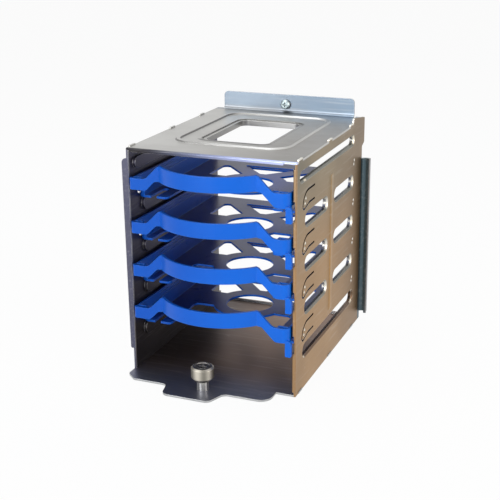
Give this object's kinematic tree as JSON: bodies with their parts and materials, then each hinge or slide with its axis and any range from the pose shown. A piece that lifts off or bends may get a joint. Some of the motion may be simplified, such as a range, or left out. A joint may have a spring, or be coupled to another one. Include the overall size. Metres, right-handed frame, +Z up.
{
  "type": "hot swap drive cage",
  "caption": "Sheet metal drive cage with stacked snap-in moulded trays, slotted side runners, a front tongue with captive thumbscrew and a rear mounting flange.",
  "frame": {"origin": "middle of the cage's width, at the front edges of the side panels, on the underside of the base panel", "axes": "+X to the right seen from the front, +Y from the front to the rear, +Z up"},
  "size_m": [0.1212, 0.1725, 0.1624],
  "materials": {
    "zinc_sheet": "satin zinc plated sheet",
    "blue_plastic": "semi-gloss moulded",
    "pin_steel": "bright turned",
    "nickel": "nickel plated, knurled",
    "screw_steel": "dark turned steel",
    "spring_steel": "bright wire",
    "brass_zinc": "passivated"
  },
  "bodies": {
    "cage": {"left_side_panel": "zinc_sheet", "right_side_panel": "zinc_sheet", "top_panel": "zinc_sheet", "base_panel": "zinc_sheet", "thumbscrew_sleeve": "nickel", "thumbscrew_spring": "spring_steel", "flange_screw": "brass_zinc", "flange_nut": "pin_steel"},
    "thumbscrew_lift": {"thumbscrew_clip": "spring_steel"},
    "thumbscrew_turn": {"thumbscrew_knob": "nickel", "thumbscrew_screw": "screw_steel"},
    "drive_tray_1": {"tray_1": "blue_plastic", "drive_pins_1": "pin_steel"},
    "drive_tray_2": {"tray_2": "blue_plastic", "drive_pins_2": "pin_steel"},
    "drive_tray_3": {"tray_3": "blue_plastic", "drive_pins_3": "pin_steel"},
    "drive_tray_4": {"tray_4": "blue_plastic", "drive_pins_4": "pin_steel"}
  },
  "joints": [
    {"name": "tray_1_slide", "type": "slide", "parent": "cage", "child": "drive_tray_1", "axis": [0, -1, 0], "range_m": [0, 0.1]},
    {"name": "tray_2_slide", "type": "slide", "parent": "cage", "child": "drive_tray_2", "axis": [0, -1, 0], "range_m": [0, 0.1]},
    {"name": "tray_3_slide", "type": "slide", "parent": "cage", "child": "drive_tray_3", "axis": [0, -1, 0], "range_m": [0, 0.1]},
    {"name": "tray_4_slide", "type": "slide", "parent": "cage", "child": "drive_tray_4", "axis": [0, -1, 0], "range_m": [0, 0.1]},
    {"name": "thumbscrew_press", "type": "slide", "parent": "cage", "child": "thumbscrew_lift", "axis": [0, 0, -1], "range_m": [0, 0.0055], "stiffness_N_per_m": 400, "springref_m": -0.004, "deforming": ["thumbscrew_spring"]},
    {"name": "thumbscrew_rotation", "type": "hinge", "parent": "thumbscrew_lift", "child": "thumbscrew_turn", "pos_m": [-0.0018, -0.0112, 0.01], "axis": [0, 0, 1], "continuous": true}
  ]
}
